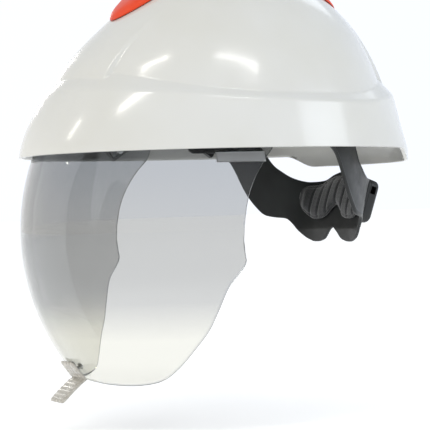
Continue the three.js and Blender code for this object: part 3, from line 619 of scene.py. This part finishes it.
def shield_sheet(skin, cells_across, cells_round, trim=0.0):
    nearest, lower, upper = shield_limits()
    radius = SHIELD["radius"]
    last = math.acos((nearest + trim) / radius)
    share = np.linspace(-1, 1, cells_across)
    tilt = last * np.sign(share) * (1 - (1 - np.abs(share)) ** 1.25)
    reach = radius * np.cos(tilt)
    low = np.interp(reach, *lower) + trim / np.maximum(reach, 1)
    high = np.interp(reach, *upper) - trim / np.maximum(reach, 1)
    across = np.linspace(0, 1, cells_round)
    turn = low[:, None] + (high - low)[:, None] * across[None, :]
    ahead = reach[:, None] * np.cos(turn)
    rise = reach[:, None] * np.sin(turn)
    left = np.broadcast_to((SHIELD["half"] * np.sin(tilt))[:, None], ahead.shape)
    normal = np.stack([ahead / radius ** 2, left / SHIELD["half"] ** 2, rise / radius ** 2], axis=-1)
    normal /= np.linalg.norm(normal, axis=-1, keepdims=True)
    points = np.stack([ahead + SHIELD["forward"], left, rise + SHIELD["height"]], axis=-1)
    return points - normal * skin


def border_loop(rows, columns):
    """The cells round the border of a grid, in order."""
    loop = [(0, c) for c in range(columns)] + [(r, columns - 1) for r in range(1, rows)]
    loop += [(rows - 1, c) for c in range(columns - 2, -1, -1)]
    return loop + [(r, 0) for r in range(rows - 2, 0, -1)]


def build_shield():
    """One blown sheet with its cut edge turned over in a finish of its own."""
    rows, columns = 150, 110
    thickness = SHIELD["thickness"]
    layers = [shield_sheet(0, rows, columns, 0.35), shield_sheet(thickness, rows, columns, 0.35)]
    rim = [shield_sheet(0.3, rows, columns), shield_sheet(thickness - 0.3, rows, columns)]
    loop = border_loop(rows, columns)
    points = [layers[0].reshape(-1, 3), layers[1].reshape(-1, 3)]
    points += [np.array([sheet[r, c] for r, c in loop]) for sheet in rim]
    points = np.concatenate(points)
    faces = grid_faces(rows, columns, False)
    faces += [tuple(k + rows * columns for k in face[::-1]) for face in grid_faces(rows, columns, False)]
    skin_faces = len(faces)
    outer = [r * columns + c for r, c in loop]
    inner = [k + rows * columns for k in outer]
    start = 2 * rows * columns
    rims = [list(range(first, first + len(loop))) for first in (start, start + len(loop))]
    rings = [outer, *rims, inner]
    for a, b in zip(rings, rings[1:]):
        faces += [(a[k], a[(k + 1) % len(a)], b[(k + 1) % len(b)], b[k]) for k in range(len(a))]
    shield = new_piece("shield_sheet", to_model(points[:, 0], points[:, 1], points[:, 2]), faces,
                       SHIELD_CLEAR, "shield")
    shield.data.materials.append(SHIELD_EDGE)
    for face in shield.data.polygons[skin_faces:]:
        face.material_index = 1
    recalc(shield)
    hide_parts("face_shield")
    marking_strip()


def marking_strip():
    """A blank frosted strip on the left wing, just under the rim."""
    rows, columns = 30, 8
    forward, up = np.meshgrid(np.linspace(18, 53, rows), np.linspace(-9.4, -2.2, columns), indexing="ij")
    points = []
    for skin in (-0.06, 0.02):
        radius = SHIELD["radius"] - skin
        reach = np.hypot(forward - SHIELD["forward"], up - SHIELD["height"])
        left = (SHIELD["half"] - skin) * np.sqrt(1 - (reach / radius) ** 2)
        points.append(to_model(forward, left, up).reshape(-1, 3))
    faces = grid_faces(rows, columns, False)
    count = rows * columns
    faces += [tuple(k + count for k in face[::-1]) for face in faces]
    loop = [r * columns + c for r, c in border_loop(rows, columns)]
    faces += [(a, b, b + count, a + count) for a, b in zip(loop, loop[1:] + loop[:1])]
    strip = new_piece("marking_strip", np.concatenate(points), faces,
                      SHIELD_STRIP, "shield")
    recalc(strip)


# ---------- pull tab ----------
def build_tab():
    """A ribbed grip: a leaf that hugs the shield, then a blade that runs on below the edge."""
    radius = SHIELD["radius"] + 0.4 + 1.2
    leaf = []
    for turn in np.radians(np.linspace(-34.5, -40.2, 8)):
        ahead = SHIELD["forward"] + radius * math.cos(turn)
        leaf.append((ahead, SHIELD["height"] + radius * math.sin(turn)))
    blade = [(122, -163.5), (130, -170.2), (137.2, -176.8)]
    count = 90
    path = resample(np.array(leaf + blade), count)
    along = np.linspace(0, 1, count)
    tangent = np.gradient(path, axis=0)
    tangent /= np.linalg.norm(tangent, axis=1, keepdims=True)
    outward = np.stack([-tangent[:, 1], tangent[:, 0]], axis=-1)
    outward *= np.sign(outward[:, :1] + 1e-9)
    sections = []
    for k in range(count):
        end = min(along[k], 1 - along[k]) * count
        half = 12 * (0.86 + 0.14 * math.sin(min(1, end / 7) * math.pi / 2))
        thick = 1.2 * math.sin(min(1, (end + 0.6) / 3) * math.pi / 2)
        rib = 0.28 * (0.5 - 0.5 * math.cos(along[k] * 2 * math.pi * 11)) * min(1, end / 4)
        ring = []
        for turn in np.linspace(0, 2 * math.pi, 44, endpoint=False):
            c, s = math.cos(turn), math.sin(turn)
            left = half * np.sign(c) * abs(c) ** 0.35
            out = (thick + (rib if s > 0 else 0)) * np.sign(s) * abs(s) ** 0.55
            place = path[k] + outward[k] * out
            ring.append((place[0], left, place[1]))
        sections.append(ring)
    tab = loft("pull_tab_grip", sections, TAB_GREY, "shield")
    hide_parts("pull_tab")


# ---------- nape cradle, its pad and the ratchet ----------
CRADLE_PATH = [(-16, 82.2), (-46, 81.8), (-63, 77), (-82, 64), (-97, 49), (-107, 34), (-109, 20), (-109, 0)]
CRADLE_EDGES = np.array([
    (0, -58, -15), (6, -62, -15), (12, -68, -15), (20, -70, -17), (28, -70, -21), (36, -67, -22),
    (43, -62, -22), (49, -56, -20), (54, -51, -17), (62, -50, -8), (68, -48, 8),
    (74, -36, 20), (78, -21, 27), (80, -1, 29), (83, 8, 30)], float)


def smooth_edges():
    """The cradle's low and high edges against the distance from the middle, softened."""
    dense = np.linspace(0, 83, 167)
    low = np.interp(dense, CRADLE_EDGES[:, 0], CRADLE_EDGES[:, 1])
    high = np.interp(dense, CRADLE_EDGES[:, 0], CRADLE_EDGES[:, 2])
    window = np.hanning(17) / np.hanning(17).sum()
    for edge in (low, high):
        edge[:] = np.convolve(np.pad(edge, 8, mode="reflect"), window, mode="valid")
    return dense, low, high


def cradle_lean(left, z):
    share = 1 - ramp(30, 66, np.abs(left))
    leaning = np.maximum(z, NAPE["straight_below"]) - NAPE["height"]
    return math.tan(NAPE["lean"]) * leaning * share


def cradle_frames(count):
    mirrored = [(forward, -left) for forward, left in CRADLE_PATH[-2::-1]]
    path = spline(CRADLE_PATH + mirrored, count)
    tangent = np.gradient(path, axis=0)
    tangent /= np.linalg.norm(tangent, axis=1, keepdims=True)
    outward = np.stack([-tangent[:, 1], tangent[:, 0]], axis=-1)
    outward *= np.sign(np.sum(outward * (path - np.array([-20, 0])), axis=1))[:, None]
    return path, outward


def cradle_loft(name, count, inset_low, inset_high, inner, outer, fillet, rows,
                shape, material, span=None):
    """A band along the cradle's path, or only its back where a span is given."""
    path, outward = cradle_frames(count)
    dense, low_edge, high_edge = smooth_edges()
    sections = []
    chosen = range(count)
    if span is not None:
        chosen = [k for k in chosen if abs(path[k, 1]) < span and path[k, 0] < -40]
    total = len(chosen)
    for index, k in enumerate(chosen):
        place, normal = path[k], outward[k]
        near_end = min(index, total - 1 - index)
        reach = abs(place[1])
        low = np.interp(reach, dense, low_edge) + inset_low
        high = np.interp(reach, dense, high_edge) - inset_high
        close = 0.5 * (high - low) * (1 - math.sqrt(1 - max(0, 1 - near_end / 7) ** 2)) * 0.8
        section = strip_section(low + close, high - close, inner, outer, fillet, rows)
        section = shape(section, place, low, high, near_end)
        ring = []
        for out, z in section:
            forward = place[0] + normal[0] * out - cradle_lean(place[1], z)
            ring.append((forward, place[1] + normal[1] * out, z))
        sections.append(ring)
    return loft(name, sections, material, "nape_unit")


def cradle_relief(section, place, low, high, near_end):
    """Concentric ridges on the lobes, and a raised border that follows both edges."""
    section = section.copy()
    outer = section[:, 0] > 1.6
    depth = section[:, 1] - low
    reach = abs(place[1])
    on_lobe = ramp(4, 12, reach) * (1 - ramp(46, 53, reach))
    in_field = ramp(2, 4, depth) * (1 - ramp(20, 24, depth))
    ridge = 0.42 * (0.5 - 0.5 * np.cos(depth / 4.2 * 2 * math.pi)) * on_lobe * in_field
    edge = np.minimum(depth, high - section[:, 1])
    border = 0.45 * np.exp(-((edge - 2.2) / 0.9) ** 2) * (1 - on_lobe)
    section[:, 0] += np.where(outer, ridge + border - 0.2, 0)
    return section


def pad_relief(section, place, low, high, near_end):
    """A stuffed strip: full along its middle, pinched at its edge and at the sewn channels."""
    section = section.copy()
    middle = (low + high) / 2
    span = (high - low) / 2
    across = np.clip(np.abs(section[:, 1] - middle) / span, 0, 1)
    channel = np.exp(-((np.mod(place[1] + 500.5, 11) - 5.5) / 1.0) ** 2)
    crown = (1 - across ** 3.0) * (1 - 0.35 * channel) * min(1, 0.25 + near_end / 8)
    seam = 0.6 * np.exp(-((across - 0.84) / 0.035) ** 2)
    inside = section[:, 0] < -3.2
    section[:, 0] = np.where(inside, -1.9 - 3.9 * crown + seam, section[:, 0])
    return section


def build_cradle():
    cradle = cradle_loft("nape_cradle_band", 260, 0, 0, 0, NAPE["thickness"], 0.9, 64,
                         cradle_relief, BLACK)
    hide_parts("nape_cradle")
    pad = cradle_loft("nape_cushion", 300, 18, 3, -5.8, -0.5, 1.0, 40,
                      pad_relief, PAD, span=46)
    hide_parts("nape_pad")


def ratchet_place(x, out, up):
    """A point given beside, out of and up along the leaning back of the cradle."""
    lean = NAPE["lean"]
    c, s = math.cos(lean), math.sin(lean)
    y = out * c + up * s
    z = -out * s + up * c
    return (NAPE["forward"] - y, x, NAPE["height"] + z)


def rounded_ring(half, tall, corner, count=96):
    """Points round a rounded rectangle, evenly spaced."""
    turn = np.linspace(0, 2 * math.pi, 721)
    c, s = np.cos(turn), np.sin(turn)
    x = np.sign(c) * np.minimum(half - corner, np.abs(c) * 1e3) + corner * c
    z = np.sign(s) * np.minimum(tall - corner, np.abs(s) * 1e3) + corner * s
    return resample(np.stack([x, z], axis=-1), count + 1)[:-1]


def prism(outline, start, end):
    """A closed block behind the cradle: an outline of beside and up, carried outwards."""
    count = len(outline)
    points = [to_model(*ratchet_place(x, out, up)) for out in (start, end) for x, up in outline]
    faces = [tuple(range(count)), tuple(range(count, 2 * count))]
    faces += [(k, (k + 1) % count, count + (k + 1) % count, count + k) for k in range(count)]
    mesh = bpy.data.meshes.new("cutter")
    mesh.from_pydata([tuple(p) for p in points], [], faces)
    block = bpy.data.objects.new("cutter", mesh)
    bpy.context.scene.collection.objects.link(block)
    recalc(block)
    return block


def rectangle(middle, level, wide, high):
    return [(middle + wide / 2 * a, level + high / 2 * b) for a, b in ((-1, -1), (1, -1), (1, 1), (-1, 1))]


def cut_away(piece, cutters):
    """Subtract the cutters from a piece for good."""
    for block in cutters:
        cut = piece.modifiers.new("cut", "BOOLEAN")
        cut.operation = "DIFFERENCE"
        cut.solver = "EXACT"
        cut.object = block
        apply_modifiers(piece)
        bpy.data.objects.remove(block)
    piece.data.set_sharp_from_angle(angle=math.radians(40))


def open_case(case, half, tall, front):
    """Cuts the gear room, the shaft hole and, at each end, one rack's slot and the other's pocket."""
    wall, end_wall = 2.2, 1.2
    rack_level, rack_room, rack_middle, rack_deep = 8.52, 6.2, front + 2.9, 4.4
    low, high = rack_middle - rack_deep / 2, rack_middle + rack_deep / 2
    cutters = [prism(rectangle(0, 0, 2 * (half - wall), 2 * (tall - wall)), front - 0.5, front + 5.9)]
    ring = [(4.3 * math.cos(a), 4.3 * math.sin(a)) for a in np.linspace(0, 2 * math.pi, 48, endpoint=False)]
    cutters.append(prism(ring, front + 5, front + 9))
    for side in (1, -1):
        level = side * rack_level
        cutters.append(prism(rectangle(side * half, level, 8, rack_room), low, high))
        cutters.append(prism(rectangle(-side * (half - end_wall - 2), level, 4, rack_room), low, high))
    cut_away(case, cutters)


def build_case():
    """The housing: rings run from its open front over a round shoulder to the grooved back."""
    half, tall = 32.0, 17.0
    front, back = 5.2, 13.6
    rings = []
    fillet = 3.4
    profile = [(0.0, front), (0.0, front + 0.4), (0.0, back - fillet)]
    for a in np.linspace(0.2, math.pi / 2, 8):
        profile.append((fillet * (1 - math.cos(a)), back - fillet + fillet * math.sin(a)))
    profile += [(3.9, back), (4.4, back), (4.8, back - 0.5), (5.6, back - 0.5)]
    profile += [(inset, back) for inset in (6.0, 7.5, 10, 13)]
    for inset, out in profile:
        outline = rounded_ring(half - inset, tall - inset, max(0.6, 6 - inset))
        ring = []
        for x, z in outline:
            groove = 0.35 * max(0, math.cos((x / 2.4) * math.pi)) ** 4 if abs(x) > 17 and inset > 6 else 0
            ring.append(ratchet_place(x, out - groove, z))
        rings.append(ring)
    case = loft("ratchet_housing", rings, BLACK, "nape_unit")
    open_case(case, half, tall, front)
    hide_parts("ratchet_case")


def build_knob():
    """A knurled knob: a fluted grip between a plain collar and a domed face with a hub recess."""
    front = 13.9
    # Each row is a radius, a distance out from the housing and a share of the fluting.
    profile = [
        (4.6, 0.0, 0), (13.2, 0.0, 0), (13.8, 0.25, 0), (14.1, 0.9, 0.1), (14.2, 1.6, 1), (14.2, 3, 1),
        (14.2, 5, 1), (14.2, 6.8, 1), (14.0, 7.6, 0.7), (13.4, 8.3, 0.25), (12.5, 8.7, 0), (11, 8.9, 0),
        (10.2, 8.9, 0), (9.6, 8.4, 0), (8.8, 8.3, 0), (7.4, 8.45, 0), (5.8, 8.6, 0), (4.2, 8.7, 0),
        (3.4, 8.6, 0), (3.0, 8.0, 0), (2.9, 6.4, 0), (1.7, 6.2, 0)]
    columns = 320
    rings = []
    for radius, out, flute in profile:
        ring = []
        for k in range(columns):
            turn = 2 * math.pi * k / columns
            crest = abs(math.sin(turn * 20))
            r = radius + 0.8 * flute * (crest ** 0.6)
            ring.append(ratchet_place(r * math.cos(turn), front + out, r * math.sin(turn)))
        rings.append(ring)
    knob = loft("ratchet_grip", rings, KNOB_BLACK, "knob")
    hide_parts("ratchet_knob")


# ---------- headband, brow pad and crown straps ----------
def headband_path(count, back):
    """Points and outward directions along the headband, from its left end round to its right."""
    turn = np.linspace(math.pi / 2, -math.pi / 2, 160)
    radius = oval(turn, 97.0, 97.0, 79.4)
    front = np.stack([radius * np.cos(turn), radius * np.sin(turn)], axis=-1)
    path = np.concatenate([[(-back, 79.4)], front, [(-back, -79.4)]])
    path = resample(path, count)
    tangent = np.gradient(path, axis=0)
    tangent /= np.linalg.norm(tangent, axis=1, keepdims=True)
    return path, np.stack([-tangent[:, 1], tangent[:, 0]], axis=-1)


def headband_loft(name, count, back, low, high, inner, outer, fillet, rows, shape, material):
    path, outward = headband_path(count, back)
    sections = []
    for k in range(count):
        near_end = min(k, count - 1 - k)
        close = 0.5 * (high - low) * (1 - math.sqrt(1 - max(0, 1 - near_end / 6) ** 2)) * 0.7
        section = strip_section(low + close, high - close, inner, outer, fillet, rows)
        section = shape(section, path[k], low, high, near_end)
        sections.append([(*(path[k] + outward[k] * out), z) for out, z in section])
    return loft(name, sections, material, "helmet")


def headband_relief(section, place, low, high, near_end):
    """Thick borders top and bottom and two raised lines between them."""
    section = section.copy()
    outer = section[:, 0] > 1.2
    edge = np.minimum(section[:, 1] - low, high - section[:, 1])
    lift = 0.5 * np.exp(-((edge - 1.6) / 0.9) ** 2) + 0.4 * np.exp(-((edge - 8.5) / 0.8) ** 2)
    section[:, 0] += np.where(outer, lift - 0.1, 0)
    return section


def brow_relief(section, place, low, high, near_end):
    """Padded strip: bulges towards the forehead between sewn edges, with cross channels."""
    section = section.copy()
    middle = (low + high) / 2
    across = np.clip(np.abs(section[:, 1] - middle) / ((high - low) / 2), 0, 1)
    channel = np.exp(-((np.mod(place[1] + 507, 14) - 7) / 1.1) ** 2) if place[0] > 40 else 0.0
    crown = (1 - across ** 3.2) * (1 - 0.4 * channel) * min(1, 0.3 + near_end / 10)
    seam = 0.5 * np.exp(-((across - 0.86) / 0.035) ** 2)
    inside = section[:, 0] < -2.4
    section[:, 0] = np.where(inside, -1.6 - 2.7 * crown + seam, section[:, 0])
    return section


def build_headband():
    band = headband_loft("headband_strip", 220, 32, 12, 38, 0, 2.0, 0.7, 40,
                         headband_relief, BLACK)
    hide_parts("headband")
    pad = headband_loft("brow_cushion", 300, -4, 13, 36, -4.3, -0.3, 0.9, 36,
                        brow_relief, PAD)
    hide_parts("brow_pad")


def strap_place(turn, reach, back, peak, along, across, lift):
    start = 49.0
    radius = reach if along > 0 else back
    height = start + (peak - start) * math.sqrt(max(0.0, 1 - abs(along) ** 2.4)) + lift
    outward = radius * along + math.copysign(1, along) * lift * abs(along) ** 6
    left = outward * math.sin(turn) + across * math.cos(turn)
    forward = outward * math.cos(turn) - across * math.sin(turn)
    return forward, left, height


def build_straps():
    for name, angle, peak in (("lower", 0, 86), ("middle", 58, 87.6), ("upper", -58, 89.2)):
        turn = math.radians(angle)
        reach = float(oval(turn, 103, 104, 76)) - 11.2
        back = float(oval(turn + math.pi, 103, 104, 76)) - 11.2
        sections = []
        count = 150
        for k in range(count):
            along = math.sin((k / (count - 1) - 0.5) * math.pi)
            ring = []
            for side in np.linspace(0, 2 * math.pi, 40, endpoint=False):
                c, s = math.cos(side), math.sin(side)
                across = 10 * np.sign(c) * abs(c) ** 0.3
                selvage = 0.12 * math.exp(-((abs(across) - 8.6) / 0.7) ** 2)
                stitch = max(0, math.cos(along * 300))
                thread = 0.1 * stitch * math.exp(-((abs(across) - 7.2) / 0.35) ** 2)
                ends = 0.18 if 0.975 < abs(along) < 0.99 else 0
                lift = (0.56 + selvage + thread + ends) * np.sign(s) * abs(s) ** 0.4
                ring.append(strap_place(turn, reach, back, peak, along, across, lift))
            sections.append(ring)
        strap = loft(f"crown_webbing_{name}", sections, WEBBING, "helmet")
        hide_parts(f"crown_strap_{name}")


# ---------- camera, lights and floor ----------
# The camera stands 1.2 m away on the wearer's left, ahead of the side view, a little below the rim.
CAMERA = dict(
    place=Vector((1.059537, -0.563366, -0.041164)),
    target=Vector((-0.001427, -0.002684, -0.046068)),
    up=Vector((0, 0.0345, 1)),
    lens=132.195,
)


def build_camera():
    data = bpy.data.cameras.new("camera")
    data.lens = CAMERA["lens"]
    data.clip_end = 50
    camera = bpy.data.objects.new("camera", data)
    bpy.context.scene.collection.objects.link(camera)
    forward = (CAMERA["target"] - CAMERA["place"]).normalized()
    right = forward.cross(CAMERA["up"].normalized()).normalized()
    true_up = right.cross(forward)
    axes = Matrix((right, true_up, -forward)).transposed()
    camera.matrix_world = Matrix.Translation(CAMERA["place"]) @ axes.to_4x4()
    bpy.context.scene.camera = camera


def add_light(name, azimuth, elevation, size, radiance, color, roll=0.0):
    """A soft box 2 m from the helmet; azimuth 0 is ahead of the wearer and 90 on the wearer's left."""
    a, e = math.radians(azimuth), math.radians(elevation)
    place = Vector((math.sin(a) * math.cos(e), -math.cos(a) * math.cos(e), math.sin(e))) * 2.0
    data = bpy.data.lights.new(name, "AREA")
    data.shape = "RECTANGLE"
    data.size, data.size_y = size
    data.energy = radiance * math.pi * size[0] * size[1]
    data.color = color
    light = bpy.data.objects.new(name, data)
    light.location = place
    aim = (-place).to_track_quat("-Z", "Y")
    light.rotation_euler = (aim @ Quaternion((0, 0, 1), math.radians(roll))).to_euler()
    bpy.context.scene.collection.objects.link(light)


def build_world():
    """A white room: bright round the horizon, dimmer overhead, warmer ahead and cooler behind."""
    world = bpy.data.worlds.new("studio")
    world.use_nodes = True
    nodes, links = world.node_tree.nodes, world.node_tree.links
    direction = nodes.new("ShaderNodeTexCoord").outputs["Generated"]
    height = nodes.new("ShaderNodeSeparateXYZ")
    links.new(direction, height.inputs[0])
    shade = nodes.new("ShaderNodeValToRGB")
    shade.color_ramp.elements[0].position = 0.16
    shade.color_ramp.elements[0].color = (1.0, 1.0, 1.0, 1.0)
    shade.color_ramp.elements[1].position = 0.45
    shade.color_ramp.elements[1].color = (0.66, 0.68, 0.70, 1.0)
    links.new(height.outputs["Z"], shade.inputs["Fac"])
    cast = nodes.new("ShaderNodeValToRGB")
    cast.color_ramp.elements[0].color = (1.02, 0.98, 0.91, 1.0)
    cast.color_ramp.elements[1].color = (0.90, 0.95, 1.04, 1.0)
    backward = nodes.new("ShaderNodeMapRange")
    backward.inputs["From Min"].default_value = -0.7
    backward.inputs["From Max"].default_value = 0.7
    links.new(height.outputs["Y"], backward.inputs["Value"])
    links.new(backward.outputs["Result"], cast.inputs["Fac"])
    mix = nodes.new("ShaderNodeMixRGB")
    mix.blend_type = "MULTIPLY"
    mix.inputs["Fac"].default_value = 1.0
    links.new(shade.outputs["Color"], mix.inputs["Color1"])
    links.new(cast.outputs["Color"], mix.inputs["Color2"])
    links.new(mix.outputs["Color"], nodes["Background"].inputs["Color"])
    nodes["Background"].inputs["Strength"].default_value = 1.07
    bpy.context.scene.world = world


def build_studio():
    build_world()
    warm, cool = (1.0, 0.97, 0.90), (0.88, 0.94, 1.0)
    add_light("ceiling_front", 25, 51, (0.60, 0.15), 15, warm, roll=38)
    add_light("ceiling_side", 97, 45, (0.80, 0.12), 12, (1.0, 1.0, 1.0), roll=-32)
    add_light("window_rear", 136, 21, (0.78, 0.34), 3.2, cool)
    add_light("window_front", -18, 32, (0.10, 0.45), 12, warm)
    add_light("window_far", -95, 16, (0.12, 0.30), 12, warm)
    add_light("rear_fill", 215, 40, (0.9, 0.5), 1.3, cool)
    mesh = bpy.data.meshes.new("floor")
    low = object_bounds()[0][2] - 0.02
    reach = 30.0
    corners = [(x * reach, y * reach, low) for x, y in ((-1, -1), (1, -1), (1, 1), (-1, 1))]
    mesh.from_pydata(corners, [], [(0, 1, 2, 3)])
    floor = bpy.data.objects.new("floor", mesh)
    bpy.context.scene.collection.objects.link(floor)
    finish = Finish("floor_pale", (0.90, 0.90, 0.90), 0.9)
    finish.set("Emission Color", (1.0, 1.0, 1.0, 1.0))
    finish.set("Emission Strength", 0.38)
    mesh.materials.append(finish.material)


def soften_frame():
    """Small rounded edges and smooth shading on the CAD parts that stay in view."""
    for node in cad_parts.values():
        if node.hide_render:
            continue
        node.data.polygons.foreach_set("use_smooth", [True] * len(node.data.polygons))
        bevel = node.modifiers.new("edges", "BEVEL")
        bevel.width = 0.00025
        bevel.segments = 2
        bevel.limit_method = "ANGLE"
        bevel.angle_limit = math.radians(32)
        bevel.harden_normals = True


build_camera()
build_studio()
dress_frame()
build_shell()
build_crest()
build_shield()
build_tab()
build_cradle()
build_case()
build_knob()
build_headband()
build_straps()
soften_frame()
bpy.context.scene.view_settings.view_transform = "Standard"
